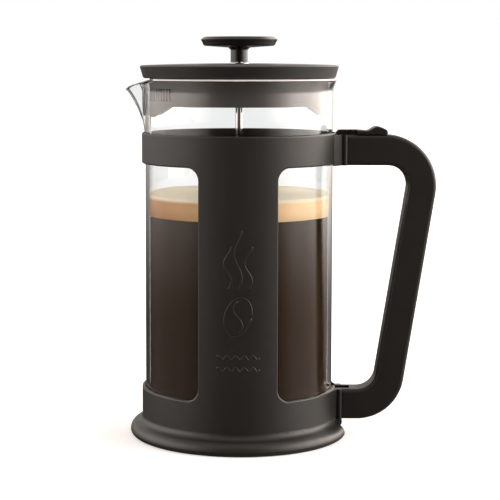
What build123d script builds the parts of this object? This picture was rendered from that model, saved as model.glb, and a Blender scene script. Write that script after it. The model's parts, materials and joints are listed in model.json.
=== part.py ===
"""A one-litre French press: glass beaker in a moulded cage with a handle, lid, and plunger.

The frame is millimetres, +Z up. The origin is on the beaker's axis, in the plane that the foot rests on.
The spout points along -X and the handle along +X. The plunger is pressed down.
"""

import os
from math import acos, asin, atan2, cos, degrees, hypot, radians, sin, sqrt

from build123d import *

# ---------------------------------------------------------------- driving dimensions
# beaker
GLASS_R = 49.6
GLASS_WALL = 1.9
GLASS_FLOOR = 2.4
GLASS_CORNER_R = 7.0
RIM_Z = 189.3
RIM_FLARE = 2.0
RIM_FLARE_Z = 183.8
SPOUT_TIP_X = 61.8
SPOUT_ROOT_Z = 160.3
SPOUT_HALF_WIDTH = 19.0
SPOUT_TIP_R = 3.2
SPOUT_DIP = 5.0

# cage
CAGE_GAP = 0.3
CAGE_WALL = 1.6
SKIRT_TOP_Z = 26.0
BAND_BOTTOM_Z = 144.8
BAND_TOP_Z = 161.0
STRAP_HALF_ANGLE = 23.3
WINDOW_CORNER_R = 6.5
WINDOW_LIP_R = 0.8
LEDGE_INNER_R = 33.0
LEDGE_BOTTOM_Z = 2.6
LEDGE_TOP_Z = 4.4
CUSHION_THICK = 0.8

# foot flare
FLARE_TOP_Z = 10.6
COVE_R = 3.6
BEAD_R = 4.8
FOOT_R = 57.8
FOOT_RING_INNER_R = 53.0
FOOT_RING_OUTER_R = 56.0
FOOT_GAP_HALF = 13.0

# handle and its brackets
ARM_HEIGHT = 16.1
UPPER_ARM_Z = 151.9
LOWER_ARM_Z = 16.7
HANDLE_HALF = 7.5
CHEEK_WALL = 2.1
CHEEK_GAP = 0.1
EAR_WALL = 2.0
BRACKET_END_X = 60.7
CROSS_WALL = 1.5
RIB_R = 1.5
RIB_Y = 6.6
UPPER_RIB_X = 55.7
LOWER_RIB_X = 53.6
ROOT_HALF = 7.4
ROOT_ANGLE = 15.0
GRIP_INNER_TOP_X = 90.55
GRIP_INNER_BOTTOM_X = 71.4
GRIP_OUTER_TOP_X = 108.35
GRIP_OUTER_BOTTOM_X = 84.1
GRIP_INNER_TOP_BEND = 10.6
GRIP_INNER_BOTTOM_BEND = 10.0
GRIP_OUTER_TOP_BEND = 26.5
GRIP_OUTER_BOTTOM_BEND = 25.0
HANDLE_ROUNDING = 2.0
UPPER_CHEEK_X = 57.3
LOWER_CHEEK_X = 55.2

# handle screws, M3.5 into brass inserts
SCREW_R = 1.6
SCREW_HEAD_R = 2.7
SCREW_HEAD_THICK = 1.7
SCREW_LENGTH = 11.0
INSERT_R = 2.9
INSERT_LENGTH = 10.0
UPPER_SCREW_Z = 147.9
LOWER_SCREW_Z = LOWER_ARM_Z

# lock lever
PIVOT_X = 56.5
PIVOT_Z = 157.3
LEVER_PIN_R = 1.25
LEVER_BORE_R = 1.31
LEVER_HUB_R = 2.4
LEVER_LOBE_R = 6.5
LEVER_TOP_Z = 162.5
LEVER_UNDER_Z = 160.25
LEVER_BAR_START_X = 59.1
LEVER_BAR_HALF = 5.0
THUMB_HALF = 7.0
THUMB_START_X = 61.7
THUMB_END_X = 78.2

# lid
LID_R = 52.5
LID_FOOT_R = 50.9
LID_UNDER_Z = 189.6
LID_EDGE_Z = 196.1
LID_CROWN_Z = 197.3
LID_PLATE = 2.6
COLLAR_R = 47.3
COLLAR_WALL = 1.8
COLLAR_BOTTOM_Z = 175.3
TONGUE_BOTTOM_Z = 169.6
TONGUE_X = 42.6
COLLAR_CUT_X = 34.0
SLOT_COUNT = 31
SLOT_PITCH = 2.9
SLOT_WIDTH = 1.05
SLOT_BOTTOM_Z = 177.7
SLOT_TOP_Z = 184.7
LID_HUB_R = 6.0
LID_HUB_BOTTOM_Z = 187.0

# plunger
ROD_R = 2.0
GROMMET_BORE_R = 2.06
GROMMET_R = 3.2
GROMMET_FLANGE_R = 5.4
GROMMET_FLANGE = 0.8
GROMMET_SEAT = 0.35
GROMMET_CLEARANCE = 0.06
KNOB_R = 20.3
KNOB_TOP_Z = 211.3
KNOB_UNDER_Z = 206.5
STEM_R = 4.55
KNOB_INSERT_R = 3.1
CROSS_PLATE_Z = 10.6
CROSS_PLATE_R = 45.0
PLATE_THICK = 0.8
MESH_THICK = 0.3
MESH_R = 46.4
SPIRAL_PLATE_R = 43.6
SPRING_RING_R = 45.6
SPRING_WIRE_RING_R = 1.7

# ---------------------------------------------------------------- derived sizes
GLASS_IN_R = GLASS_R - GLASS_WALL
CAGE_IN_R = GLASS_R + CAGE_GAP
CAGE_R = CAGE_IN_R + CAGE_WALL
GLASS_BOTTOM_Z = LEDGE_TOP_Z + CUSHION_THICK
CHEEK_IN = HANDLE_HALF - CHEEK_WALL
EAR_OUT = CHEEK_IN - CHEEK_GAP
EAR_IN = EAR_OUT - EAR_WALL
LEVER_WEB_HALF = EAR_IN - 0.3
CROSS_WALL_X = BRACKET_END_X - CROSS_WALL
FAR = 130.0


def save(part, name):
    """Labels a finished piece and writes it to parts/."""
    part.label = name
    export_step(part, f"parts/{name}.step")


def ring_section(inner, outer, bottom, top):
    """Adds a plain rectangular ring section (radius across, height up) to the open sketch."""
    with Locations(((inner + outer) / 2, (bottom + top) / 2)):
        Rectangle(outer - inner, top - bottom)


os.makedirs("parts", exist_ok=True)

# ================================================================ cage
# The wall with the ledge that carries the beaker is turned, then the windows are cut out of it.
with BuildPart() as cage:
    with BuildSketch(Plane.XZ):
        with BuildLine():
            Polyline(
                (LEDGE_INNER_R, LEDGE_BOTTOM_Z),
                (CAGE_R, LEDGE_BOTTOM_Z),
                (CAGE_R, BAND_TOP_Z),
                (CAGE_IN_R, BAND_TOP_Z),
                (CAGE_IN_R, LEDGE_TOP_Z),
                (LEDGE_INNER_R, LEDGE_TOP_Z),
                close=True,
            )
        make_face()
    revolve(axis=Axis.Z)
    fillet(
        cage.edges().filter_by(GeomType.CIRCLE).group_by(Axis.Z)[-1], radius=0.7
    )

    # two windows, one at the spout and one behind the handle, leave a strap at the front and the back
    window_half = 90.0 - STRAP_HALF_ANGLE
    for facing in (0.0, 180.0):
        edge_angles = (facing - window_half, facing, facing + window_half)
        with BuildSketch(Plane.XY.offset(SKIRT_TOP_Z)):
            Polygon(
                (0, 0),
                *[(FAR * cos(radians(a)), FAR * sin(radians(a))) for a in edge_angles],
                align=None,
            )
        extrude(amount=BAND_BOTTOM_Z - SKIRT_TOP_Z, mode=Mode.SUBTRACT)
    window_corners = [
        e
        for e in cage.edges().filter_by(GeomType.LINE)
        if e.length < 2 * CAGE_WALL
        and abs(e.tangent_at(0.5).Z) < 0.01
        and SKIRT_TOP_Z - 0.1 < e.center().Z < BAND_BOTTOM_Z + 0.1
    ]
    fillet(window_corners, radius=WINDOW_CORNER_R)

    # the lip of each window is rounded on its outside
    window_lips = [
        e
        for e in cage.edges()
        if abs(hypot(e.position_at(0.5).X, e.position_at(0.5).Y) - CAGE_R) < 0.02
        and abs(hypot(e.position_at(0).X, e.position_at(0).Y) - CAGE_R) < 0.02
        and SKIRT_TOP_Z - 0.1 < e.center().Z < BAND_BOTTOM_Z + 0.1
        and e.length > 1.0
    ]
    fillet(window_lips, radius=WINDOW_LIP_R)

    # the flared foot, a cove and a full bead, stops short on each side of the handle
    foot_gap_angle = degrees(asin(FOOT_GAP_HALF / FOOT_R))
    flare_turn = acos(1 - (FOOT_R - CAGE_R) / (COVE_R + BEAD_R))
    bead_middle_z = FLARE_TOP_Z - (COVE_R + BEAD_R) * sin(flare_turn)
    with BuildSketch(Plane.XZ.rotated((0, 0, foot_gap_angle))):
        with BuildLine():
            cove = JernArc(
                start=(CAGE_R, FLARE_TOP_Z),
                tangent=(0, -1),
                radius=COVE_R,
                arc_size=degrees(flare_turn),
            )
            JernArc(
                start=cove @ 1,
                tangent=cove % 1,
                radius=BEAD_R,
                arc_size=-degrees(flare_turn),
            )
            ThreePointArc(
                (FOOT_R, bead_middle_z),
                (FOOT_R - 0.5, bead_middle_z * 0.4),
                (FOOT_RING_OUTER_R, 0),
            )
            Polyline(
                (FOOT_RING_OUTER_R, 0),
                (FOOT_RING_INNER_R, 0),
                (CAGE_IN_R + 0.4, LEDGE_BOTTOM_Z),
                (CAGE_IN_R + 0.4, FLARE_TOP_Z),
                (CAGE_R, FLARE_TOP_Z),
            )
        make_face()
    revolve(axis=Axis.Z, revolution_arc=360 - 2 * foot_gap_angle)

    # brackets: the wall runs out in a wedge to a half-round rib beside each cheek of the handle; an
    # ear runs back from each rib, with a cross wall between the ears, inside the end of the handle
    arms = (
        (UPPER_ARM_Z, UPPER_RIB_X, UPPER_SCREW_Z),
        (LOWER_ARM_Z, LOWER_RIB_X, LOWER_SCREW_Z),
    )
    root_cos, root_sin = cos(radians(ROOT_ANGLE)), sin(radians(ROOT_ANGLE))
    wall_x = CAGE_R - 1.2
    for arm_z, rib_x, _ in arms:
        with BuildSketch(Plane.XY.offset(arm_z - ARM_HEIGHT / 2)):
            for side in (1, -1):
                with Locations(((wall_x + BRACKET_END_X) / 2, side * (EAR_OUT - EAR_WALL / 2))):
                    Rectangle(BRACKET_END_X - wall_x, EAR_WALL)
                with Locations((rib_x, side * RIB_Y)):
                    Circle(RIB_R)
                Polygon(
                    (wall_x, side * EAR_IN),
                    ((CAGE_R - 0.8) * root_cos, side * (CAGE_R - 0.8) * root_sin),
                    (CAGE_R * root_cos, side * CAGE_R * root_sin),
                    (rib_x - RIB_R + 0.1, side * ROOT_HALF),
                    (rib_x, side * ROOT_HALF),
                    (rib_x, side * EAR_IN),
                    align=None,
                )
            with Locations((BRACKET_END_X - CROSS_WALL / 2, 0)):
                Rectangle(CROSS_WALL, 2 * EAR_OUT)
        extrude(amount=ARM_HEIGHT)

    # the band and the skirt are split between the ears, so that the cage can give a little
    split_bottom = LOWER_ARM_Z - ARM_HEIGHT / 2
    with BuildSketch(Plane.XY.offset(split_bottom)):
        with Locations((CAGE_R - 2, 0)):
            Rectangle(12, 2 * EAR_IN)
    extrude(amount=BAND_TOP_Z, mode=Mode.SUBTRACT)

    # screw holes through the cross walls
    for _, _, screw_z in arms:
        with BuildSketch(Plane.YZ.offset(CROSS_WALL_X - 0.5)):
            with Locations((0, screw_z)):
                Circle(SCREW_R)
        extrude(amount=CROSS_WALL + 1, mode=Mode.SUBTRACT)

    # the lever pin's hole goes through both ears and stops in the ribs
    with BuildSketch(Plane.XZ):
        with Locations((PIVOT_X, PIVOT_Z)):
            Circle(LEVER_PIN_R)
    extrude(amount=EAR_OUT, both=True, mode=Mode.SUBTRACT)

save(cage.part, "cage")

# ================================================================ beaker cushion
with BuildPart() as cushion:
    with BuildSketch(Plane.XZ):
        ring_section(35.5, 42.0, LEDGE_TOP_Z, GLASS_BOTTOM_Z)
    revolve(axis=Axis.Z)
save(cushion.part, "beaker_cushion")

# ================================================================ handle
with BuildPart() as handle:
    low, high = LOWER_ARM_Z - ARM_HEIGHT / 2, UPPER_ARM_Z + ARM_HEIGHT / 2
    with BuildSketch(Plane.XZ) as side_view:
        with BuildLine():
            Polyline(
                (UPPER_CHEEK_X, high - ARM_HEIGHT),
                (GRIP_INNER_TOP_X, high - ARM_HEIGHT),
                (GRIP_INNER_BOTTOM_X, low + ARM_HEIGHT),
                (LOWER_CHEEK_X, low + ARM_HEIGHT),
                (LOWER_CHEEK_X, low),
                (GRIP_OUTER_BOTTOM_X, low),
                (GRIP_OUTER_TOP_X, high),
                (UPPER_CHEEK_X, high),
                close=True,
            )
        make_face()
        for corner, bend in (
            ((GRIP_INNER_TOP_X, high - ARM_HEIGHT), GRIP_INNER_TOP_BEND),
            ((GRIP_INNER_BOTTOM_X, low + ARM_HEIGHT), GRIP_INNER_BOTTOM_BEND),
            ((GRIP_OUTER_BOTTOM_X, low), GRIP_OUTER_BOTTOM_BEND),
            ((GRIP_OUTER_TOP_X, high), GRIP_OUTER_TOP_BEND),
        ):
            nearest = side_view.vertices().sort_by_distance(corner)[0]
            fillet(nearest, radius=bend)
    extrude(amount=HANDLE_HALF, both=True)
    rounded = [
        e
        for e in handle.edges()
        if abs(abs(e.center().Y) - HANDLE_HALF) < 0.01
        and e.center().X > UPPER_CHEEK_X + 0.01
    ]
    fillet(rounded, radius=HANDLE_ROUNDING)
    # each end is slotted for the bracket, which leaves two cheeks
    with BuildSketch(Plane.XY.offset(low - 1)):
        with Locations((BRACKET_END_X / 2, 0)):
            Rectangle(BRACKET_END_X, 2 * CHEEK_IN)
    extrude(amount=high - low + 2, mode=Mode.SUBTRACT)
    for screw_z in (UPPER_SCREW_Z, LOWER_SCREW_Z):
        with BuildSketch(Plane.YZ.offset(BRACKET_END_X)):
            with Locations((0, screw_z)):
                Circle(INSERT_R)
        extrude(amount=INSERT_LENGTH, mode=Mode.SUBTRACT)
        with BuildSketch(Plane.YZ.offset(BRACKET_END_X + INSERT_LENGTH)):
            with Locations((0, screw_z)):
                Circle(SCREW_R + 0.2)
        extrude(amount=2.0, mode=Mode.SUBTRACT)
save(handle.part, "handle")

# ================================================================ handle screws and inserts
for place, screw_z in (("upper", UPPER_SCREW_Z), ("lower", LOWER_SCREW_Z)):
    with BuildPart() as insert:
        with BuildSketch(Plane.YZ.offset(BRACKET_END_X)):
            with Locations((0, screw_z)):
                Circle(INSERT_R)
                Circle(SCREW_R, mode=Mode.SUBTRACT)
        extrude(amount=INSERT_LENGTH)
    save(insert.part, f"{place}_thread_insert")

    with BuildPart() as screw:
        with BuildSketch(Plane.YZ.offset(CROSS_WALL_X)):
            with Locations((0, screw_z)):
                Circle(SCREW_R)
        extrude(amount=SCREW_LENGTH)
        with BuildSketch(Plane.YZ.offset(CROSS_WALL_X - SCREW_HEAD_THICK)):
            with Locations((0, screw_z)):
                Circle(SCREW_HEAD_R)
        extrude(amount=SCREW_HEAD_THICK)
        head_rim = screw.edges().filter_by(GeomType.CIRCLE).group_by(Axis.X)[0]
        fillet(head_rim, radius=0.7)
        # cross recess
        with BuildSketch(Plane.YZ.offset(CROSS_WALL_X - SCREW_HEAD_THICK)):
            with Locations((0, screw_z)):
                Rectangle(3.0, 0.7)
                Rectangle(0.7, 3.0)
        extrude(amount=1.1, mode=Mode.SUBTRACT)
    save(screw.part, f"{place}_handle_screw")

# ================================================================ lock lever and its pin
with BuildPart() as lever:
    lobe_top_x = PIVOT_X - sqrt(LEVER_LOBE_R**2 - (LEVER_TOP_Z - PIVOT_Z) ** 2)
    lobe_end = radians(190)
    lobe_mid = radians(155)
    lobe_tail = (PIVOT_X + LEVER_LOBE_R * cos(lobe_end), PIVOT_Z + LEVER_LOBE_R * sin(lobe_end))
    # the hub, its lobe and the web up to the bar swing between the ears
    with BuildSketch(Plane.XZ):
        with BuildLine():
            Line(lobe_tail, (PIVOT_X, PIVOT_Z - LEVER_HUB_R))
            ThreePointArc(
                (PIVOT_X, PIVOT_Z - LEVER_HUB_R),
                (
                    PIVOT_X + LEVER_HUB_R * cos(radians(45)),
                    PIVOT_Z - LEVER_HUB_R * sin(radians(45)),
                ),
                (PIVOT_X + LEVER_HUB_R, PIVOT_Z),
            )
            Polyline(
                (PIVOT_X + LEVER_HUB_R, PIVOT_Z),
                (PIVOT_X + LEVER_HUB_R, LEVER_UNDER_Z),
                (THUMB_START_X + 1, LEVER_UNDER_Z),
                (THUMB_START_X + 1, LEVER_TOP_Z),
                (lobe_top_x, LEVER_TOP_Z),
            )
            ThreePointArc(
                (lobe_top_x, LEVER_TOP_Z),
                (
                    PIVOT_X + LEVER_LOBE_R * cos(lobe_mid),
                    PIVOT_Z + LEVER_LOBE_R * sin(lobe_mid),
                ),
                lobe_tail,
            )
        make_face()
    extrude(amount=LEVER_WEB_HALF, both=True)
    # the bar widens where it clears the ears as it swings up
    with BuildSketch(Plane.XZ):
        bar_middle = ((LEVER_BAR_START_X + THUMB_START_X + 1) / 2, (LEVER_UNDER_Z + LEVER_TOP_Z) / 2)
        with Locations(bar_middle):
            Rectangle(THUMB_START_X + 1 - LEVER_BAR_START_X, LEVER_TOP_Z - LEVER_UNDER_Z)
    extrude(amount=LEVER_BAR_HALF, both=True)
    # thumb plate with its rise at the far end
    with BuildSketch(Plane.XZ):
        with BuildLine():
            Polyline(
                (THUMB_END_X, LEVER_UNDER_Z + 1.2),
                (THUMB_END_X, LEVER_UNDER_Z),
                (THUMB_START_X, LEVER_UNDER_Z),
                (THUMB_START_X, LEVER_TOP_Z),
                (67.0, 162.1),
            )
            Spline(
                (67.0, 162.1),
                (70.0, 163.2),
                (72.8, 164.3),
                (75.6, 163.5),
                (THUMB_END_X, LEVER_UNDER_Z + 1.2),
                tangents=((1, 0), (0.15, -1)),
            )
        make_face()
    extrude(amount=THUMB_HALF, both=True)
    thumb_edges = [
        e
        for e in lever.edges()
        if abs(abs(e.center().Y) - THUMB_HALF) < 0.01 and e.center().Z > LEVER_UNDER_Z + 0.3
    ]
    fillet(thumb_edges, radius=0.8)
    with BuildSketch(Plane.XZ.offset(FAR)):
        with Locations((PIVOT_X, PIVOT_Z)):
            Circle(LEVER_BORE_R)
    extrude(amount=-2 * FAR, mode=Mode.SUBTRACT)
save(lever.part, "lock_lever")

with BuildPart() as lever_pin:
    with BuildSketch(Plane.XZ):
        with Locations((PIVOT_X, PIVOT_Z)):
            Circle(LEVER_PIN_R)
    extrude(amount=EAR_OUT - 0.1, both=True)
save(lever_pin.part, "lever_pin")

# ================================================================ beaker


def beaker_section(inset):
    """The beaker's section, filled to the axis. Its inside is inset by the wall, and its outside is not."""
    radius = GLASS_R - inset
    corner = GLASS_CORNER_R - inset
    floor = GLASS_BOTTOM_Z + (GLASS_FLOOR if inset else 0)
    top = RIM_Z + (5 if inset else 0)
    with BuildSketch(Plane.XZ) as section:
        with BuildLine():
            Polyline((0, top), (0, floor), (radius - corner, floor))
            ThreePointArc(
                (radius - corner, floor),
                (radius - corner * (1 - sin(radians(45))), floor + corner * (1 - sin(radians(45)))),
                (radius, floor + corner),
            )
            Line((radius, floor + corner), (radius, RIM_FLARE_Z))
            flare = Spline(
                (radius, RIM_FLARE_Z),
                (radius + RIM_FLARE * 0.3, (RIM_Z + RIM_FLARE_Z) / 2),
                (radius + RIM_FLARE, RIM_Z),
                tangents=((0, 1), (0.6, 1)),
            )
            if inset:
                Polyline(flare @ 1, (radius + RIM_FLARE, top), (0, top))
            else:
                Line(flare @ 1, (0, top))
        make_face()
    return section.sketch


def spout_level(z, inset):
    """One level of the spout: straight sides that run from inside the beaker to a rounded tip."""
    height = (z - SPOUT_ROOT_Z) / (RIM_Z - SPOUT_ROOT_Z)
    tip_x = GLASS_R - 2.0 + (SPOUT_TIP_X - GLASS_R + 2.0) * height - 1.25 * inset
    half_width = 9.0 + (SPOUT_HALF_WIDTH - 9.0) * height - 1.1 * inset
    tip_r = SPOUT_TIP_R - 0.6 * inset
    root_x = 30.0
    lean = atan2(half_width - tip_r, tip_x - root_x)
    touch = (-(tip_x - tip_r + tip_r * sin(lean)), tip_r * cos(lean))
    with BuildSketch(Plane.XY.offset(z)) as level:
        with BuildLine():
            Polyline(touch, (-root_x, half_width), (-root_x, -half_width), (touch[0], -touch[1]))
            ThreePointArc((touch[0], -touch[1]), (-tip_x, 0), touch)
        make_face()
    return level.sketch


with BuildPart() as beaker:
    revolve(beaker_section(0), axis=Axis.Z)
    loft([spout_level(SPOUT_ROOT_Z, 0), spout_level(RIM_Z, 0)], ruled=True)
    revolve(beaker_section(GLASS_WALL), axis=Axis.Z, mode=Mode.SUBTRACT)
    inner_root_z = SPOUT_ROOT_Z + 1.6 * GLASS_WALL
    loft(
        [spout_level(inner_root_z, GLASS_WALL), spout_level(RIM_Z + 5, GLASS_WALL)],
        ruled=True,
        mode=Mode.SUBTRACT,
    )
    # the spout's lip dips towards its tip
    with BuildSketch(Plane.XZ):
        with BuildLine():
            dip = ThreePointArc(
                (-44.0, RIM_Z + 0.01),
                (-55.0, RIM_Z - SPOUT_DIP * 0.36),
                (-SPOUT_TIP_X - 1, RIM_Z - SPOUT_DIP),
            )
            Polyline(dip @ 1, (-SPOUT_TIP_X - 1, RIM_Z + 6), (-44.0, RIM_Z + 6), dip @ 0)
        make_face()
    extrude(amount=40, both=True, mode=Mode.SUBTRACT)
save(beaker.part, "beaker")

# ================================================================ lid
with BuildPart() as lid:
    collar_in = COLLAR_R - COLLAR_WALL
    with BuildSketch(Plane.XZ):
        with BuildLine():
            crown = ThreePointArc(
                (0, LID_CROWN_Z), (LID_R / 2, LID_CROWN_Z - 0.2), (LID_R - 1.0, LID_EDGE_Z + 0.25)
            )
            Polyline(
                crown @ 1,
                (LID_R, LID_EDGE_Z - 0.5),
                (LID_FOOT_R, LID_UNDER_Z + 0.6),
                (LID_FOOT_R - 0.6, LID_UNDER_Z),
                (COLLAR_R, LID_UNDER_Z),
                (COLLAR_R, TONGUE_BOTTOM_Z),
                (collar_in, TONGUE_BOTTOM_Z),
                (collar_in, LID_CROWN_Z - LID_PLATE - 0.9),
                (LID_HUB_R, LID_CROWN_Z - LID_PLATE),
                (LID_HUB_R, LID_HUB_BOTTOM_Z),
                (0, LID_HUB_BOTTOM_Z),
                (0, LID_CROWN_Z),
            )
        make_face()
    revolve(axis=Axis.Z)
    # the collar is cut back at the front and the back, which leaves a tongue at the spout and at the handle
    with BuildSketch(Plane.XZ) as cut_back:
        with BuildLine():
            Polyline(
                (-TONGUE_X, TONGUE_BOTTOM_Z - 4),
                (-TONGUE_X, TONGUE_BOTTOM_Z),
                (-COLLAR_CUT_X, COLLAR_BOTTOM_Z),
                (COLLAR_CUT_X, COLLAR_BOTTOM_Z),
                (TONGUE_X, TONGUE_BOTTOM_Z),
                (TONGUE_X, TONGUE_BOTTOM_Z - 4),
                close=True,
            )
        make_face()
        for corner_x in (-COLLAR_CUT_X, COLLAR_CUT_X):
            corner = (corner_x, COLLAR_BOTTOM_Z)
            fillet(cut_back.vertices().sort_by_distance(corner)[0], radius=2.5)
    extrude(amount=COLLAR_R + 1, both=True, mode=Mode.SUBTRACT)
    # strainer slots, in front of the spout
    with BuildSketch(Plane.XY.offset(SLOT_BOTTOM_Z)):
        sweep = (SLOT_COUNT - 1) * SLOT_PITCH
        with PolarLocations(
            COLLAR_R - COLLAR_WALL / 2,
            SLOT_COUNT,
            start_angle=180 - sweep / 2,
            angular_range=sweep,
            endpoint=True,
        ):
            Rectangle(COLLAR_WALL + 1.5, SLOT_WIDTH)
    extrude(amount=SLOT_TOP_Z - SLOT_BOTTOM_Z, mode=Mode.SUBTRACT)
    # hole and seat of the grommet
    with BuildSketch(Plane.XY.offset(LID_HUB_BOTTOM_Z - 1)):
        Circle(GROMMET_R + GROMMET_CLEARANCE)
    extrude(amount=LID_CROWN_Z, mode=Mode.SUBTRACT)
    with BuildSketch(Plane.XY.offset(LID_CROWN_Z - GROMMET_SEAT)):
        Circle(GROMMET_FLANGE_R + GROMMET_CLEARANCE)
    extrude(amount=2, mode=Mode.SUBTRACT)
save(lid.part, "lid")

# ================================================================ lid grommet, which guides the rod
with BuildPart() as grommet:
    flange_z = LID_CROWN_Z - GROMMET_SEAT
    with BuildSketch(Plane.XZ):
        ring_section(GROMMET_BORE_R, GROMMET_R, LID_HUB_BOTTOM_Z - 0.6, flange_z)
        ring_section(GROMMET_BORE_R, GROMMET_FLANGE_R, flange_z, flange_z + GROMMET_FLANGE)
    revolve(axis=Axis.Z)
    fillet(
        grommet.edges().filter_by(GeomType.CIRCLE).group_by(Axis.Z)[-1].sort_by(SortBy.RADIUS)[-1],
        radius=0.5,
    )
save(grommet.part, "lid_grommet")

# ================================================================ knob and its threaded insert
stem_bottom_z = LID_CROWN_Z - GROMMET_SEAT + GROMMET_FLANGE + 0.15
knob_bore_top_z = KNOB_UNDER_Z + 0.6
with BuildPart() as knob:
    with BuildSketch(Plane.XZ):
        with BuildLine():
            Polyline(
                (0, stem_bottom_z),
                (STEM_R, stem_bottom_z),
                (STEM_R, KNOB_UNDER_Z - 2.1),
                (STEM_R + 1.2, KNOB_UNDER_Z - 0.9),
                (KNOB_R - 2.2, KNOB_UNDER_Z),
            )
            ThreePointArc(
                (KNOB_R - 2.2, KNOB_UNDER_Z),
                (KNOB_R - 1.45, KNOB_UNDER_Z + 0.55),
                (KNOB_R - 1.0, KNOB_UNDER_Z + 1.5),
            )
            Polyline(
                (KNOB_R - 1.0, KNOB_UNDER_Z + 1.5),
                (KNOB_R, KNOB_TOP_Z - 1.5),
                (KNOB_R - 1.6, KNOB_TOP_Z - 0.25),
                (KNOB_R - 2.6, KNOB_TOP_Z),
            )
            dish = TangentArc((0, KNOB_TOP_Z - 0.6), (KNOB_R - 2.6, KNOB_TOP_Z), tangent=(1, 0))
            Line(dish @ 0, (0, stem_bottom_z))
        make_face()
    revolve(axis=Axis.Z)
    with BuildSketch(Plane.XY.offset(stem_bottom_z)):
        Circle(KNOB_INSERT_R)
    extrude(amount=knob_bore_top_z - stem_bottom_z, mode=Mode.SUBTRACT)
save(knob.part, "knob")

with BuildPart() as knob_insert:
    with BuildSketch(Plane.XZ):
        ring_section(ROD_R, KNOB_INSERT_R, stem_bottom_z + 0.4, knob_bore_top_z)
    revolve(axis=Axis.Z)
save(knob_insert.part, "knob_thread_insert")

# ================================================================ plunger rod, collar and filter pack
mesh_z = CROSS_PLATE_Z + PLATE_THICK
spiral_z = mesh_z + MESH_THICK
collar_z = spiral_z + PLATE_THICK
with BuildPart() as rod:
    with BuildSketch(Plane.XY.offset(CROSS_PLATE_Z - 1.6)):
        Circle(ROD_R)
    extrude(amount=knob_bore_top_z - 0.4 - CROSS_PLATE_Z + 1.6)
    chamfer(rod.edges().filter_by(GeomType.CIRCLE), length=0.35)
save(rod.part, "plunger_rod")

with BuildPart() as rod_collar:
    with BuildSketch(Plane.XZ):
        ring_section(ROD_R, 5.5, collar_z, collar_z + 1.2)
        ring_section(ROD_R, 3.6, collar_z + 1.2, collar_z + 5.0)
    revolve(axis=Axis.Z)
    chamfer(
        rod_collar.edges().filter_by(GeomType.CIRCLE).group_by(Axis.Z)[-1].sort_by(SortBy.RADIUS)[-1],
        length=0.6,
    )
save(rod_collar.part, "rod_collar")

with BuildPart() as hub_nut:
    with BuildSketch(Plane.XY.offset(CROSS_PLATE_Z - 2.0)):
        RegularPolygon(radius=4.6, side_count=6)
        Circle(ROD_R, mode=Mode.SUBTRACT)
    extrude(amount=2.0)
save(hub_nut.part, "hub_nut")

with BuildPart() as cross_plate:
    with BuildSketch(Plane.XZ):
        ring_section(ROD_R, CROSS_PLATE_R, CROSS_PLATE_Z, CROSS_PLATE_Z + PLATE_THICK)
        ring_section(CROSS_PLATE_R - 0.8, CROSS_PLATE_R, CROSS_PLATE_Z - 1.6, CROSS_PLATE_Z)
    revolve(axis=Axis.Z)
    with BuildSketch(Plane.XY.offset(CROSS_PLATE_Z)):
        for ring_r, holes in ((13.0, 8), (24.0, 14), (35.5, 22)):
            with PolarLocations(ring_r, holes):
                Circle(3.4)
    extrude(amount=PLATE_THICK, mode=Mode.SUBTRACT)
save(cross_plate.part, "cross_plate")

with BuildPart() as filter_mesh:
    with BuildSketch(Plane.XZ):
        ring_section(ROD_R, MESH_R, mesh_z, mesh_z + MESH_THICK)
    revolve(axis=Axis.Z)
save(filter_mesh.part, "filter_mesh")

with BuildPart() as spiral_plate:
    with BuildSketch(Plane.XZ):
        ring_section(ROD_R, SPIRAL_PLATE_R, spiral_z, spiral_z + PLATE_THICK)
        ring_section(SPIRAL_PLATE_R - 0.8, SPIRAL_PLATE_R, spiral_z, spiral_z + 3.6)
    revolve(axis=Axis.Z)
    with BuildSketch(Plane.XY.offset(spiral_z)):
        with PolarLocations(27.0, 8):
            SlotOverall(18.0, 7.0, rotation=0)
        with PolarLocations(11.5, 8):
            Circle(2.2)
    extrude(amount=PLATE_THICK, mode=Mode.SUBTRACT)
save(spiral_plate.part, "spiral_plate")

with BuildPart() as edge_spring:
    spring_z = spiral_z + SPRING_WIRE_RING_R + 0.35
    with BuildSketch(Plane.XZ):
        with Locations((SPRING_RING_R, spring_z)):
            Circle(SPRING_WIRE_RING_R)
    revolve(axis=Axis.Z)
save(edge_spring.part, "edge_spring")
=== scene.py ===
"""The French press's looks: materials, glass, coffee, filter wires, studio and camera."""

import json
import math

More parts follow.
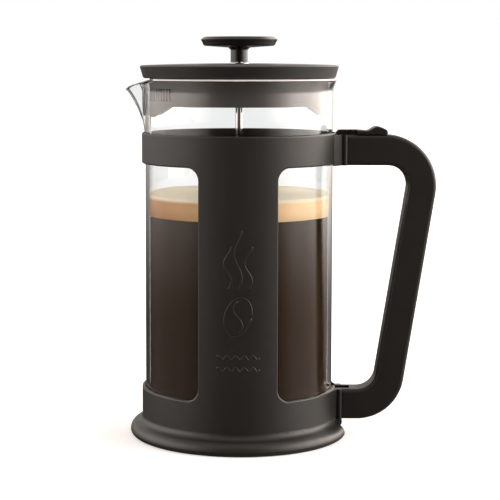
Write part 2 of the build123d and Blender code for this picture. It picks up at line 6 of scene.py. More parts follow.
import bmesh
import bpy
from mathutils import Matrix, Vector


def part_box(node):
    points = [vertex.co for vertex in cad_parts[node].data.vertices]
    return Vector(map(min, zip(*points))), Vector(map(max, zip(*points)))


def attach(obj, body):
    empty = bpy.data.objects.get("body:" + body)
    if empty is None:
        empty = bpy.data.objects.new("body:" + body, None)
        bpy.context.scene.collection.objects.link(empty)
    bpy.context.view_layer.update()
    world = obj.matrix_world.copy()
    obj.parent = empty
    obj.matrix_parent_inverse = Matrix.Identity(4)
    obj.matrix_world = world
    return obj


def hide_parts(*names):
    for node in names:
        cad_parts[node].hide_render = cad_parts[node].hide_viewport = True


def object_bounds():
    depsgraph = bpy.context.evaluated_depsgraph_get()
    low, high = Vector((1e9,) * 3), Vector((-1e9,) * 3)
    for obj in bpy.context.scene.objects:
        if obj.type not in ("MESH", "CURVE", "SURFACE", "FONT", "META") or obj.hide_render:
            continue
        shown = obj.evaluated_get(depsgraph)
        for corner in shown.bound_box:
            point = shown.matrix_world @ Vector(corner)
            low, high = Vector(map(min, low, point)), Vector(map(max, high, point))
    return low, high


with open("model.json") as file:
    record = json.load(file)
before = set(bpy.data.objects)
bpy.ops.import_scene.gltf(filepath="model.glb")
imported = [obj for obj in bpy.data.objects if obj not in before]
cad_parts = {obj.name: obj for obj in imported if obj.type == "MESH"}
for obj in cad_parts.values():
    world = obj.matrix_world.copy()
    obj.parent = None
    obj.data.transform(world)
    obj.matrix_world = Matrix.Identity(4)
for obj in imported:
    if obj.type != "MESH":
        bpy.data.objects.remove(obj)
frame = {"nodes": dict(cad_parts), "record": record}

cad_low, cad_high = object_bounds()
MM = 0.001

# ---------------------------------------------------------------- sizes, in metres
glass_low, glass_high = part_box("beaker")

GLASS_R = 49.6 * MM
GLASS_WALL = 1.9 * MM
GLASS_FLOOR = 2.4 * MM
GLASS_CORNER = 7.0 * MM
GLASS_FLARE = 2.0 * MM
GLASS_FLARE_RISE = 5.5 * MM
SPOUT_ROOT_Z = 160.3 * MM
SPOUT_TIP_R = 3.2 * MM
SPOUT_HALF_WIDTH = 19.0 * MM
SPOUT_LIP_START_X = 44.0 * MM
SPOUT_DIP = 5.0 * MM
SPOUT_TIP_X = 59.8 * MM
SPOUT_NECK = 2.4 * MM
RIM_TOP_Z = 189.3 * MM
RIM_LIP_RISE = 0.4 * GLASS_WALL
# painted highlight: the depth of the white band at the rim's top
RIM_HIGHLIGHT_DEPTH = 0.2 * MM
SPOUT_FADE_START = math.radians(20)
SPOUT_FADE_END = math.radians(42)
SPOUT_SIDE_TURN = 0.7

# the coffee stands a little inside the glass, whose wall looks white past its edge
COFFEE_GAP = 0.6 * MM
CREMA_GAP = 0.05 * MM
COFFEE_TOP_Z = 117.4 * MM
CREMA_TOP_Z = 128.5 * MM
CREMA_SWELL = 0.7 * MM

CAGE_R = 51.5 * MM
RELIEF_RISE = 0.16 * MM

# the studio: softbox brightness by the angle from the front, as a share of SOFTBOX_RADIANCE
SOFTBOX_RADIANCE = 7.0
CEILING_RADIANCE = 0.7
WARM_WHITE = (1.05, 0.96, 0.90)
SOFTBOXES = (
    (-180, 0.10),
    (-140, 0.14),
    (-112, 0.40),
    (-72, 0.50),
    (-52, 0.34),
    (-32, 0.035),
    (-12, 0.012),
    (12, 0.012),
    (32, 0.035),
    (52, 0.32),
    (72, 0.92),
    (104, 1.0),
    (124, 1.0),
    (142, 0.50),
    (180, 0.10),
)


# ---------------------------------------------------------------- material helpers
def shader(name):
    """A new material: (material, its nodes, a linker, its Principled shader)."""
    material = bpy.data.materials.new(name)
    material.use_nodes = True
    tree = material.node_tree
    return material, tree.nodes, tree.links.new, tree.nodes["Principled BSDF"]


def noise(nodes, link, scale, detail=3.0, stretch=None):
    """A noise texture in object space; scale is in cells per metre."""
    place = nodes.new("ShaderNodeTexCoord")
    texture = nodes.new("ShaderNodeTexNoise")
    texture.inputs["Scale"].default_value = scale
    texture.inputs["Detail"].default_value = detail
    source = place.outputs["Object"]
    if stretch:
        mapping = nodes.new("ShaderNodeMapping")
        mapping.inputs["Scale"].default_value = stretch
        link(source, mapping.inputs["Vector"])
        source = mapping.outputs["Vector"]
    link(source, texture.inputs["Vector"])
    return texture.outputs["Fac"]


def remap(nodes, link, value, low, high):
    """value, from 0 to 1, mapped to low..high."""
    node = nodes.new("ShaderNodeMapRange")
    node.inputs["To Min"].default_value = low
    node.inputs["To Max"].default_value = high
    link(value, node.inputs["Value"])
    return node.outputs["Result"]


def calculate(nodes, link, operation, first, second):
    """A Math node on two values, each a number or a socket."""
    node = nodes.new("ShaderNodeMath")
    node.operation = operation
    for socket, value in zip(node.inputs, (first, second)):
        if isinstance(value, (int, float)):
            socket.default_value = value
        else:
            link(value, socket)
    return node.outputs["Value"]


def blend_colours(nodes, link, value, dark, light):
    """A colour between dark and light, as value goes from 0 to 1."""
    node = nodes.new("ShaderNodeMix")
    node.data_type = "RGBA"
    node.inputs["A"].default_value = (*dark, 1)
    node.inputs["B"].default_value = (*light, 1)
    link(value, node.inputs["Factor"])
    return node.outputs["Result"]


def bump(nodes, link, bsdf, heights):
    """Bumps the shader's surface by each (height, strength, depth) in turn."""
    normal = None
    for height, strength, depth in heights:
        node = nodes.new("ShaderNodeBump")
        node.inputs["Strength"].default_value = strength
        node.inputs["Distance"].default_value = depth
        link(height, node.inputs["Height"])
        if normal:
            link(normal, node.inputs["Normal"])
        normal = node.outputs["Normal"]
    link(normal, bsdf.inputs["Normal"])


def plastic(name, dark, light, roughness, grain=0.25, sheen=0.5):
    """Moulded plastic: spark-eroded grain, soft flow variation and a little handling wear."""
    material, nodes, link, bsdf = shader(name)
    flow = noise(nodes, link, 35, 4)
    wear = noise(nodes, link, 240, 6)
    link(blend_colours(nodes, link, flow, dark, light), bsdf.inputs["Base Color"])
    link(remap(nodes, link, wear, roughness - 0.06, roughness + 0.08), bsdf.inputs["Roughness"])
    bsdf.inputs["Specular IOR Level"].default_value = sheen
    fine = noise(nodes, link, 2600, 2)
    broad = noise(nodes, link, 120, 2)
    bump(nodes, link, bsdf, ((fine, grain, 0.03 * MM), (broad, 0.12, 0.1 * MM)))
    return material


def steel(name, roughness, stretch=(1, 1, 1), colour=(0.66, 0.65, 0.63)):
    """Stainless steel with fine brushing along the axis that stretch makes long."""
    material, nodes, link, bsdf = shader(name)
    lines = noise(nodes, link, 1500, 3, stretch)
    bsdf.inputs["Metallic"].default_value = 1.0
    darker = tuple(0.86 * c for c in colour)
    link(blend_colours(nodes, link, lines, darker, colour), bsdf.inputs["Base Color"])
    link(remap(nodes, link, lines, roughness * 0.7, roughness * 1.3), bsdf.inputs["Roughness"])
    bump(nodes, link, bsdf, ((lines, 0.08, 0.01 * MM),))
    return material


def brass(name):
    """Turned brass: fine rings and slight tarnish."""
    material, nodes, link, bsdf = shader(name)
    tarnish = noise(nodes, link, 400, 4)
    bsdf.inputs["Metallic"].default_value = 1.0
    colour = blend_colours(nodes, link, tarnish, (0.52, 0.36, 0.14), (0.78, 0.58, 0.28))
    link(colour, bsdf.inputs["Base Color"])
    link(remap(nodes, link, tarnish, 0.22, 0.38), bsdf.inputs["Roughness"])
    return material


def clear_glass(name):
    """Borosilicate glass with the slight waviness of a blown wall."""
    material, nodes, link, bsdf = shader(name)
    bsdf.inputs["Base Color"].default_value = (0.985, 0.992, 0.99, 1)
    bsdf.inputs["Transmission Weight"].default_value = 1.0
    bsdf.inputs["IOR"].default_value = 1.47
    bsdf.inputs["Roughness"].default_value = 0.0
    waves = noise(nodes, link, 18, 1, (1, 1, 0.35))
    bump(nodes, link, bsdf, ((waves, 0.05, 0.6 * MM),))
    return material


def painted_highlight_glass(name):
    """The fire-polished edge of the rim with a painted highlight: white rather than clear."""
    material, nodes, link, bsdf = shader(name)
    bsdf.inputs["Transmission Weight"].default_value = 0.35
    bsdf.inputs["IOR"].default_value = 1.47
    cloud = noise(nodes, link, 300, 3)
    colour = blend_colours(nodes, link, cloud, (0.90, 0.89, 0.87), (0.97, 0.96, 0.95))
    link(colour, bsdf.inputs["Base Color"])
    link(remap(nodes, link, cloud, 0.35, 0.5), bsdf.inputs["Roughness"])
    return material


def silicone(name):
    """Dark matt silicone."""
    material, nodes, link, bsdf = shader(name)
    cloud = noise(nodes, link, 200, 3)
    colour = blend_colours(nodes, link, cloud, (0.03, 0.03, 0.03), (0.055, 0.053, 0.05))
    link(colour, bsdf.inputs["Base Color"])
    bsdf.inputs["Roughness"].default_value = 0.7
    return material


def coffee_liquid(name):
    """Brewed coffee against glass: nearly opaque brown, a little lighter in drifting fines."""
    material, nodes, link, bsdf = shader(name)
    fines = noise(nodes, link, 30, 5, (1, 1, 0.3))
    colour = blend_colours(nodes, link, fines, (0.026, 0.0115, 0.0036), (0.050, 0.027, 0.0105))
    link(colour, bsdf.inputs["Base Color"])
    bsdf.inputs["Roughness"].default_value = 0.5
    bsdf.inputs["Specular IOR Level"].default_value = 0.0
    return material


def crema_foam(name, bubbles=900):
    """Coffee foam: pale on top, browner at the glass where it is wet, with fine bubbles; painted
    light makes its side lighter towards the handle, and it glows a little.
    """
    material, nodes, link, bsdf = shader(name)
    place = nodes.new("ShaderNodeTexCoord")
    split = nodes.new("ShaderNodeSeparateXYZ")
    link(place.outputs["Object"], split.inputs["Vector"])
    swirl = noise(nodes, link, 45, 5)
    # painted light: the side of the foam is painted lighter towards the handle side, where the
    # light falls stronger
    painted_side_light = nodes.new("ShaderNodeMapRange")
    painted_side_light.interpolation_type = "SMOOTHSTEP"
    painted_side_light.inputs["From Min"].default_value = -0.055
    painted_side_light.inputs["From Max"].default_value = 0.030
    link(split.outputs["X"], painted_side_light.inputs["Value"])
    mottle = remap(nodes, link, swirl, -0.18, 0.18)
    mottle_and_side_light = calculate(nodes, link, "ADD", painted_side_light.outputs["Result"], mottle)
    side = blend_colours(nodes, link, mottle_and_side_light, (0.42, 0.175, 0.035), (0.93, 0.62, 0.32))
    # the top, and a little of the edge below it, is dry and pale
    dry = nodes.new("ShaderNodeMapRange")
    dry.interpolation_type = "SMOOTHSTEP"
    dry.inputs["From Min"].default_value = CREMA_TOP_Z - 2.6 * MM
    dry.inputs["From Max"].default_value = CREMA_TOP_Z - 0.2 * MM
    link(split.outputs["Z"], dry.inputs["Value"])
    mix = nodes.new("ShaderNodeMix")
    mix.data_type = "RGBA"
    mix.inputs["B"].default_value = (0.99, 0.87, 0.66, 1)
    link(side, mix.inputs["A"])
    link(dry.outputs["Result"], mix.inputs["Factor"])
    link(mix.outputs["Result"], bsdf.inputs["Base Color"])
    # painted light: the foam glows with its own colour, brightening its shaded top and side
    link(mix.outputs["Result"], bsdf.inputs["Emission Color"])
    bsdf.inputs["Emission Strength"].default_value = 0.3
    bsdf.inputs["Roughness"].default_value = 0.6
    bsdf.inputs["Subsurface Weight"].default_value = 0.2
    bsdf.inputs["Subsurface Scale"].default_value = 1.5 * MM
    cells = nodes.new("ShaderNodeTexVoronoi")
    cells.inputs["Scale"].default_value = bubbles
    link(place.outputs["Object"], cells.inputs["Vector"])
    bump(nodes, link, bsdf, ((cells.outputs["Distance"], 0.25, 0.25 * MM),))
    return material


def paint_reflection_below(material, share, colour):
    """Paints a material lighter in the lower share of its object's height, as a painted
    reflection.
    """
    nodes, link = material.node_tree.nodes, material.node_tree.links.new
    bsdf = nodes["Principled BSDF"]
    place = nodes.new("ShaderNodeTexCoord")
    split = nodes.new("ShaderNodeSeparateXYZ")
    link(place.outputs["Generated"], split.inputs["Vector"])
    low = calculate(nodes, link, "LESS_THAN", split.outputs["Z"], share)
    mix = nodes.new("ShaderNodeMix")
    mix.data_type = "RGBA"
    mix.inputs["B"].default_value = (*colour, 1)
    link(bsdf.inputs["Base Color"].links[0].from_socket, mix.inputs["A"])
    link(low, mix.inputs["Factor"])
    link(mix.outputs["Result"], bsdf.inputs["Base Color"])


CAGE_COLOURS = (0.0088, 0.0076, 0.0058), (0.0120, 0.0105, 0.0084)
LEVER_COLOURS = (0.0080, 0.0072, 0.0060), (0.0105, 0.0095, 0.0080)
LID_COLOURS = (0.0065, 0.0053, 0.0042), (0.0095, 0.008, 0.0065)
KNOB_COLOURS = (0.005, 0.0042, 0.0038), (0.0075, 0.0065, 0.0056)
# painted reflection: the lid's collar is painted lighter, standing in for the glass's reflection
# over it
COLLAR_REFLECTION_COLOUR = (0.125, 0.112, 0.102)
COLLAR_REFLECTION_SHARE = 0.72

MATERIALS = {
    "cage_plastic": plastic("cage_plastic", *CAGE_COLOURS, 0.42),
    "lever_plastic": plastic("lever_plastic", *LEVER_COLOURS, 0.36),
    "lid_plastic": plastic("lid_plastic", *LID_COLOURS, 0.43, 0.25, 0.9),
    "knob_plastic": plastic("knob_plastic", *KNOB_COLOURS, 0.22, 0.08),
    "silicone": silicone("silicone"),
    "steel": steel("steel", 0.28, (1, 1, 0.2)),
    "polished_steel": steel("polished_steel", 0.08, (1, 1, 0.05), (0.74, 0.735, 0.72)),
    "steel_mesh": steel("steel_mesh", 0.3),
    "brass": brass("brass"),
    "borosilicate_glass": clear_glass("borosilicate_glass"),
}
RIM_HIGHLIGHT_GLASS = painted_highlight_glass("rim_painted_highlight")
CREMA = crema_foam("crema")
COFFEE = coffee_liquid("coffee")
# painted reflection: the lower part of the lid, its collar, is painted lighter
paint_reflection_below(MATERIALS["lid_plastic"], COLLAR_REFLECTION_SHARE, COLLAR_REFLECTION_COLOUR)


# ---------------------------------------------------------------- mesh helpers
def piece(name, points, faces, material, body, smooth=True):
    """A new mesh piece that rides on a body."""
    mesh = bpy.data.meshes.new(name)
    mesh.from_pydata([tuple(p) for p in points], [], faces)
    mesh.materials.append(material)
    mesh.validate()
    work = bmesh.new()
    work.from_mesh(mesh)
    bmesh.ops.recalc_face_normals(work, faces=work.faces)
    work.to_mesh(mesh)
    work.free()
    mesh.polygons.foreach_set("use_smooth", [smooth] * len(mesh.polygons))
    made = bpy.data.objects.new(name, mesh)
    bpy.context.scene.collection.objects.link(made)
    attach(made, body)
    return made


def rings_to_faces(ring_count, size, first_pole=None, last_pole=None):
    """Quads between closed rings of equal size, with optional fans to a pole at each end."""
    faces = []
    for r in range(ring_count - 1):
        for s in range(size):
            a, b = r * size + s, r * size + (s + 1) % size
            faces.append((a, b, b + size, a + size))
    last = (ring_count - 1) * size
    for s in range(size):
        after = (s + 1) % size
        if first_pole is not None:
            faces.append((first_pole, after, s))
        if last_pole is not None:
            faces.append((last_pole, last + s, last + after))
    return faces


def lathe(name, profile, material, body, segments=192):
    """A solid turned from (radius, height) points; the profile starts and ends on the axis."""
    inner = profile[1:-1]
    points = []
    for radius, height in inner:
        for s in range(segments):
            turn = 2 * math.pi * s / segments
            points.append((radius * math.cos(turn), radius * math.sin(turn), height))
    points.append((0, 0, profile[0][1]))
    points.append((0, 0, profile[-1][1]))
    faces = rings_to_faces(len(inner), segments, len(points) - 2, len(points) - 1)
    return piece(name, points, faces, material, body)


def arc(centre, radius, start, end, steps):
    """Points (r, z) on an arc about centre, from start to end degrees."""
    return [
        (
            centre[0] + radius * math.cos(math.radians(start + (end - start) * k / steps)),
            centre[1] + radius * math.sin(math.radians(start + (end - start) * k / steps)),
        )
        for k in range(steps + 1)
    ]


def tube(name, path, radius, material, body, sides=8, closed=False):
    """A round wire along a list of points."""
    points = []
    count = len(path)
    previous = None
    for k, point in enumerate(path):
        ahead = path[(k + 1) % count] if closed or k + 1 < count else point
        behind = path[k - 1] if closed or k else point
        along = (ahead - behind).normalized()
        if previous is None:
            side = along.orthogonal().normalized()
        else:
            side = (previous - along * previous.dot(along)).normalized()
        previous = side
        other = along.cross(side)
        for s in range(sides):
            turn = 2 * math.pi * s / sides
            points.append(point + radius * (math.cos(turn) * side + math.sin(turn) * other))
    faces = rings_to_faces(count, sides)
    if closed:
        last = (count - 1) * sides
        faces += [(last + s, last + (s + 1) % sides, (s + 1) % sides, s) for s in range(sides)]
    else:
        points += [path[0], path[-1]]
        last = (count - 1) * sides
        for s in range(sides):
            after = (s + 1) % sides
            faces += [(len(points) - 2, after, s), (len(points) - 1, last + s, last + after)]
    return piece(name, points, faces, material, body)


# ---------------------------------------------------------------- beaker
def spout_reach(turn, height, inset):
    """The glass's radius at a turn from the spout's centre line, at a height from 0 to 1."""
    wall = GLASS_R - inset
    tip = GLASS_R - 2 * MM + (SPOUT_TIP_X - GLASS_R + 2 * MM) * height - 0.75 * inset
    half = 9 * MM + (SPOUT_HALF_WIDTH - 9 * MM) * height - 0.75 * inset
    tip_r = SPOUT_TIP_R - 0.6 * inset
    root_x = 30 * MM
    lean = math.atan2(half - tip_r, tip - root_x)
    touch_x = tip - tip_r + tip_r * math.sin(lean)
    touch_y = tip_r * math.cos(lean)
    turn = abs(turn)
    centre = tip - tip_r
    if turn < math.atan2(touch_y, touch_x):
        inside = tip_r**2 - (centre * math.sin(turn)) ** 2
        flank = centre * math.cos(turn) + math.sqrt(max(inside, 0))
    else:
        slope = (half - touch_y) / (touch_x - root_x)
        flank = (half + root_x * slope) / (math.sin(turn) + math.cos(turn) * slope)
    # a smooth maximum of the round wall and the spout's flank, which fades out away from the spout
    gap = flank - wall
    fade = min(1.0, max(0.0, (SPOUT_FADE_END - turn) / (SPOUT_FADE_END - SPOUT_FADE_START)))
    return wall + 0.5 * (gap + math.hypot(gap, SPOUT_NECK)) * fade * fade * (3 - 2 * fade)


def build_beaker():
    """The glass: floor with round corners, straight wall, flared rim and a pulled spout."""
    segments = 480
    floor_z, rim_z = glass_low.z, RIM_TOP_Z - RIM_LIP_RISE
    root = SPOUT_ROOT_Z

    def wall_level(inset, height_now, fraction):
        """One ring of the upper wall. fraction runs from the spout's root, 0, to the rim, 1."""
        ring = []
        for s in range(segments):
            turn = 2 * math.pi * s / segments
            away = math.remainder(turn - math.pi, 2 * math.pi)
            radius = spout_reach(away, fraction, inset) if fraction > 0 else GLASS_R - inset
            ring.append((radius, turn, height_now))
        return ring

    rings = []
    corner_out = arc((GLASS_R - GLASS_CORNER, floor_z + GLASS_CORNER), GLASS_CORNER, -90, 0, 10)
    corner_in_r = GLASS_CORNER - GLASS_WALL
    inner_floor = floor_z + GLASS_FLOOR
    corner_in = arc(
        (GLASS_R - GLASS_CORNER, inner_floor + corner_in_r), corner_in_r, 0, -90, 10
    )

    def plain(radius, height_now):
        return [(radius, 2 * math.pi * s / segments, height_now) for s in range(segments)]

    for radius, height_now in [(0.5 * (GLASS_R - GLASS_CORNER), floor_z)] + corner_out:
        rings.append(plain(radius, height_now))
    for height_now in (60 * MM, 110 * MM, 150 * MM):
        rings.append(plain(GLASS_R, height_now))

    steps = 26

    def upper(inset, order):
        for k in order:
            fraction = k / steps
            height_now = root + (rim_z - root) * fraction
            ring = wall_level(inset, height_now, fraction)
            flare = max(0.0, 1 - (rim_z - height_now) / GLASS_FLARE_RISE) ** 1.6 * GLASS_FLARE
            lifted = []
            for radius, turn, z in ring:
                away = math.remainder(turn - math.pi, 2 * math.pi)
                outside = radius - (GLASS_R - inset)
                grown = radius + flare * max(0.0, 1 - outside / (6 * MM))
                reach_x = -grown * math.cos(turn)
                dip = max(0.0, (reach_x - SPOUT_LIP_START_X) / (SPOUT_TIP_X - SPOUT_LIP_START_X))
                if abs(away) > SPOUT_SIDE_TURN:
                    dip = 0.0
                z -= SPOUT_DIP * dip**1.3 * fraction**3
                lifted.append((grown, turn, z))
            rings.append(lifted)

    upper(0.0, range(steps + 1))
    # rounded lip between the outside and the inside
    outer_rim = rings[-1]
    upper(GLASS_WALL, range(steps, -1, -1))
    inner_rim = rings[-(steps + 1)]
    lip = []
    for k in range(1, 6):
        turn_k = math.pi * k / 6
        ring = []
        for (ro, turn, zo), (ri, _, zi) in zip(outer_rim, inner_rim):
            mid_r, mid_z = (ro + ri) / 2, (zo + zi) / 2
            half = (ro - ri) / 2
            rise = 0.8 * half * math.sin(turn_k)
            ring.append((mid_r + half * math.cos(turn_k), turn, mid_z + rise))
        lip.append(ring)
    at = len(rings) - (steps + 1)
    rings[at:at] = lip

    for height_now in (150 * MM, 110 * MM, 60 * MM):
        rings.append(plain(GLASS_R - GLASS_WALL, height_now))
    for radius, height_now in corner_in + [(0.5 * (GLASS_R - GLASS_CORNER), inner_floor)]:
        rings.append(plain(radius, height_now))

    points = [
        (radius * math.cos(turn), radius * math.sin(turn), z)
        for ring in rings
        for radius, turn, z in ring
    ]
    points += [(0, 0, floor_z), (0, 0, inner_floor)]
    faces = rings_to_faces(len(rings), segments, len(points) - 2, len(points) - 1)
    glass = MATERIALS["borosilicate_glass"]
    made = piece("glass_beaker", points, faces, glass, "beaker")
    # painted highlight: the faces at the rim's top, except at the spout, take the white glass
    made.data.materials.append(RIM_HIGHLIGHT_GLASS)
    for face in made.data.polygons:
        centre = face.center
        if centre.z > rim_z - RIM_HIGHLIGHT_DEPTH and centre.x > -SPOUT_LIP_START_X:
            face.material_index = 1
    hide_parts("beaker")


# ---------------------------------------------------------------- coffee
def build_coffee():
    """The brewed coffee and its foam, which fill the beaker to the level of a one-litre brew."""
    radius = GLASS_R - GLASS_WALL - COFFEE_GAP
    floor_z = glass_low.z + GLASS_FLOOR + COFFEE_GAP
    corner = GLASS_CORNER - GLASS_WALL
    bottom = arc((radius - corner, floor_z + corner), corner, -90, 0, 8)
    profile = [(0, floor_z)] + bottom + [(radius, COFFEE_TOP_Z - 0.4 * MM)]
    profile += [(radius - 0.4 * MM, COFFEE_TOP_Z), (0, COFFEE_TOP_Z)]
    lathe("coffee", profile, COFFEE, "beaker")

    low = COFFEE_TOP_Z + 0.02 * MM
    radius = GLASS_R - GLASS_WALL - CREMA_GAP
    meniscus = [
        (radius, CREMA_TOP_Z + 0.5 * MM),
        (radius - 0.3 * MM, CREMA_TOP_Z + 0.45 * MM),
        (radius - 1.4 * MM, CREMA_TOP_Z),
        (radius - 4 * MM, CREMA_TOP_Z - 0.25 * MM),
    ]
    foam = [(0, low), (radius - 0.3 * MM, low), (radius, low + 0.3 * MM)] + meniscus
    foam += [(0.6 * radius, CREMA_TOP_Z - 0.3 * MM), (0, CREMA_TOP_Z - 0.3 * MM)]
    crema = lathe("crema", foam, CREMA, "beaker")
    # the froth stands a little higher at the back, and its edge is uneven
    for vertex in crema.data.vertices:
        share = math.hypot(vertex.co.x, vertex.co.y) / radius
        turn = math.atan2(vertex.co.y, vertex.co.x)
        uneven = 0.5 * math.sin(5 * turn + 0.6) + 0.3 * math.sin(11 * turn)
        uneven += 0.2 * math.sin(23 * turn + 1.1)
        lift = CREMA_SWELL * (vertex.co.y / radius + 0.5 * uneven * share)
        if vertex.co.z > (COFFEE_TOP_Z + CREMA_TOP_Z) / 2:
            vertex.co.z += lift
        elif share > 0.9:
            vertex.co.z += 0.25 * abs(lift)


# ---------------------------------------------------------------- relief on the front strap
def build_relief():
    """A plain relief on the front strap: steam over a coffee bean, and a waved border."""

    def line(name, outline, thick):
        radius = CAGE_R + RELIEF_RISE - thick * MM
        path = []
        for across, height in outline:
            turn = across * MM / CAGE_R
            path.append(Vector((radius * math.sin(turn), -radius * math.cos(turn), height * MM)))
        tube(name, path, thick * MM, MATERIALS["cage_plastic"], "frame", 8, False)

    for number, (start, low, high) in enumerate(((-5.2, 84, 106), (0, 84, 114), (5.2, 84, 106))):
        curl = []
        for k in range(33):
            share = k / 32
            sway = 1.9 * math.sin(2 * math.pi * 1.25 * share)
            curl.append((start + sway, low + (high - low) * share))
        line(f"relief_steam_{number}", curl, 0.85)
    bean = []
    for k in range(41):
        turn = 2 * math.pi * k / 40
        bean.append((6.8 * math.cos(turn) + 1.6 * math.sin(turn), 70 + 10.0 * math.sin(turn)))
    line("relief_bean", bean, 0.85)
    crease = []
    for k in range(21):
        share = k / 20
        crease.append((2.2 * math.sin(2 * math.pi * share), 61.5 + 17 * share))
    line("relief_bean_crease", crease, 0.85)
    for number, height in enumerate((43.5, 49.5)):
        wave = []
        for k in range(61):
            share = k / 60
            wave.append((22 * share - 11, height + 1.1 * math.sin(2 * math.pi * 5 * share)))
        line(f"relief_border_{number}", wave, 0.7)


# ---------------------------------------------------------------- filter
def build_edge_spring():
    """The coiled spring round the filter plate's edge: a helix bent into a ring."""
    low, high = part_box("edge_spring")
    wire = 0.35 * MM
    coil_r = (high.z - low.z) / 2 - wire
    ring_r = high.x - (high.z - low.z) / 2
    middle = (low.z + high.z) / 2
    turns, per_turn = 120, 12
    path = []
    for k in range(turns * per_turn):
        around = 2 * math.pi * k / (turns * per_turn)
        wind = 2 * math.pi * k / per_turn
        radius = ring_r + coil_r * math.cos(wind)
        height_now = middle + coil_r * math.sin(wind)
        path.append(Vector((radius * math.cos(around), radius * math.sin(around), height_now)))
    made = tube("filter_spring_coil", path, wire, MATERIALS["steel"], "plunger", 6, True)
    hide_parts("edge_spring")


def build_gauze():
    """The filter's gauze: two families of wires woven over and under, inside a pressed rim."""
    low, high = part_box("filter_mesh")
    middle = (low.z + high.z) / 2
    edge_r = high.x
    hole_r = 2.1 * MM
    pitch = 1.5 * MM
    wire = 0.11 * MM
    lift = 0.13 * MM
    points, faces = [], []
    count = int(edge_r / pitch)
    for along_x in (True, False):
        for line in range(-count, count + 1):
            offset = line * pitch
            reach = math.sqrt(max(edge_r**2 - offset**2, 0)) - 0.4 * MM
            spans = [(-reach, reach)]
            if abs(offset) < hole_r:
                clear = math.sqrt(hole_r**2 - offset**2)
                spans = [(-reach, -clear), (clear, reach)]
            for start, end in spans:
                steps = max(2, int((end - start) / (pitch / 2)))
                first = len(points)
                for k in range(steps + 1):
                    run = start + (end - start) * k / steps
                    phase = math.pi * run / pitch + (math.pi if line % 2 else 0)
                    phase += 0 if along_x else math.pi
                    z = middle + lift * math.cos(phase)
                    for side, up in ((wire, 0), (0, wire), (-wire, 0), (0, -wire)):
                        if along_x:
                            points.append((run, offset + side, z + up))
                        else:
                            points.append((offset + side, run, z + up))
                for k in range(steps):
                    for s in range(4):
                        a, b = first + 4 * k + s, first + 4 * k + (s + 1) % 4
                        faces.append((a, b, b + 4, a + 4))
                faces.append(tuple(first + s for s in range(4)))
                last = first + 4 * steps
                faces.append(tuple(last + s for s in (3, 2, 1, 0)))
    made = piece("filter_gauze", points, faces, MATERIALS["steel_mesh"], "plunger")
    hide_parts("filter_mesh")
    rim = []
    rim_r = edge_r - 0.35 * MM
    for k in range(160):
        turn = 2 * math.pi * k / 160
        rim.append(Vector((rim_r * math.cos(turn), rim_r * math.sin(turn), middle)))
    tube("gauze_rim", rim, 0.32 * MM, MATERIALS["steel"], "plunger", 8, True)


# ---------------------------------------------------------------- studio
def build_floor():
    """A plain pale floor."""
    mesh = bpy.data.meshes.new("studio_floor")
    size = 6.0
    corners = [(-size, -size, 0), (size, -size, 0), (size, size, 0), (-size, size, 0)]
    mesh.from_pydata(corners, [], [(0, 1, 2, 3)])
    material, nodes, link, bsdf = shader("studio_floor")
    tint = noise(nodes, link, 3, 2)
    colour = blend_colours(nodes, link, tint, (0.84, 0.835, 0.83), (0.86, 0.855, 0.85))
    link(colour, bsdf.inputs["Base Color"])
    bsdf.inputs["Roughness"].default_value = 0.8
    bsdf.inputs["Specular IOR Level"].default_value = 0.1
    bsdf.inputs["Emission Color"].default_value = (1.0, 0.995, 0.99, 1)
    bsdf.inputs["Emission Strength"].default_value = 0.32
    mesh.materials.append(material)
    floor = bpy.data.objects.new("studio_floor", mesh)
    bpy.context.scene.collection.objects.link(floor)
    floor.location.z = cad_low.z - 0.02 * MM
    floor.visible_glossy = False
    floor.visible_transmission = False


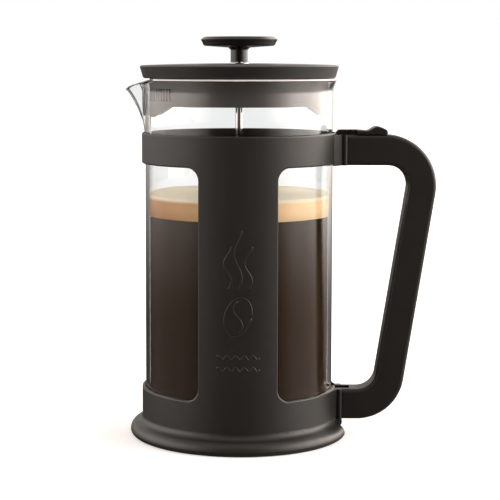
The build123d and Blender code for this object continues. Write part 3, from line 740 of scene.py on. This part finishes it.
def build_world():
    """A studio: white behind the object, with a softbox on each side and a dark front."""
    world = bpy.data.worlds.new("studio")
    bpy.context.scene.world = world
    world.use_nodes = True
    nodes, link = world.node_tree.nodes, world.node_tree.links.new
    direction = nodes.new("ShaderNodeTexCoord")
    split = nodes.new("ShaderNodeSeparateXYZ")
    link(direction.outputs["Generated"], split.inputs["Vector"])
    sideways, away, up = split.outputs["X"], split.outputs["Y"], split.outputs["Z"]

    # brightness round the object, by the angle from the front, which is negative on the left
    toward = calculate(nodes, link, "MULTIPLY", away, -1.0)
    azimuth = calculate(nodes, link, "ARCTAN2", sideways, toward)
    turn = calculate(nodes, link, "MULTIPLY_ADD", azimuth, 0.5 / math.pi)
    turn.node.inputs[2].default_value = 0.5
    ramp = nodes.new("ShaderNodeValToRGB")
    link(turn, ramp.inputs["Fac"])
    while len(ramp.color_ramp.elements) < len(SOFTBOXES):
        ramp.color_ramp.elements.new(0.5)
    for element, (degrees, brightness) in zip(ramp.color_ramp.elements, SOFTBOXES):
        element.position = (degrees + 180) / 360
        element.color = (brightness, brightness, brightness, 1)

    # the softboxes end a little below the horizon, and a dim ceiling closes the top
    lower_edge = nodes.new("ShaderNodeMapRange")
    lower_edge.interpolation_type = "SMOOTHSTEP"
    lower_edge.inputs["From Min"].default_value = -0.17
    lower_edge.inputs["From Max"].default_value = 0.10
    lower_edge.inputs["To Min"].default_value = 0.05
    link(up, lower_edge.inputs["Value"])
    ceiling = nodes.new("ShaderNodeMapRange")
    ceiling.interpolation_type = "SMOOTHSTEP"
    ceiling.inputs["From Min"].default_value = 0.50
    ceiling.inputs["From Max"].default_value = 0.80
    link(up, ceiling.inputs["Value"])
    sides = calculate(nodes, link, "MULTIPLY", ramp.outputs["Color"], lower_edge.outputs["Result"])
    open_sides = calculate(nodes, link, "SUBTRACT", 1.0, ceiling.outputs["Result"])
    sides = calculate(nodes, link, "MULTIPLY", sides, open_sides)
    sides = calculate(nodes, link, "MULTIPLY", sides, SOFTBOX_RADIANCE)
    top = calculate(nodes, link, "MULTIPLY", ceiling.outputs["Result"], CEILING_RADIANCE)
    total = calculate(nodes, link, "ADD", sides, top)
    studio = nodes.new("ShaderNodeVectorMath")
    studio.operation = "SCALE"
    studio.inputs[0].default_value = WARM_WHITE
    link(total, studio.inputs["Scale"])

    # what is seen directly, or straight through glass, is plain white
    path = nodes.new("ShaderNodeLightPath")
    bounces = calculate(
        nodes, link, "ADD", path.outputs["Glossy Depth"], path.outputs["Diffuse Depth"]
    )
    straight = calculate(nodes, link, "LESS_THAN", bounces, 0.5)
    through = calculate(nodes, link, "MULTIPLY", path.outputs["Is Transmission Ray"], straight)
    direct = calculate(nodes, link, "MAXIMUM", path.outputs["Is Camera Ray"], through)
    seen = nodes.new("ShaderNodeMix")
    seen.data_type = "RGBA"
    seen.inputs["B"].default_value = (1.0, 1.0, 1.0, 1)
    link(direct, seen.inputs["Factor"])
    link(studio.outputs["Vector"], seen.inputs["A"])
    link(seen.outputs["Result"], nodes["Background"].inputs["Color"])


def build_camera():
    """The camera of a product shot: slightly above the lid, looking a little down."""
    data = bpy.data.cameras.new("camera")
    data.lens = 112.8
    data.sensor_width = 36.0
    data.shift_x = 0.10
    data.shift_y = -0.12
    camera = bpy.data.objects.new("camera", data)
    bpy.context.scene.collection.objects.link(camera)
    camera.location = (6.2 * MM, -0.830, 0.199)
    camera.rotation_euler = (math.radians(90 - 4.74), 0, math.radians(1.855))
    bpy.context.scene.camera = camera


build_camera()
slots = {p["node"]: p["material_slot"] for p in frame["record"]["subparts"]}
for node_name, node_object in frame["nodes"].items():
    node_object.data.materials.clear()
    node_object.data.materials.append(MATERIALS[slots[node_name]])

build_beaker()
build_coffee()
build_relief()
build_edge_spring()
build_gauze()
build_floor()
build_world()

scene = bpy.context.scene
scene.view_settings.view_transform = "Standard"
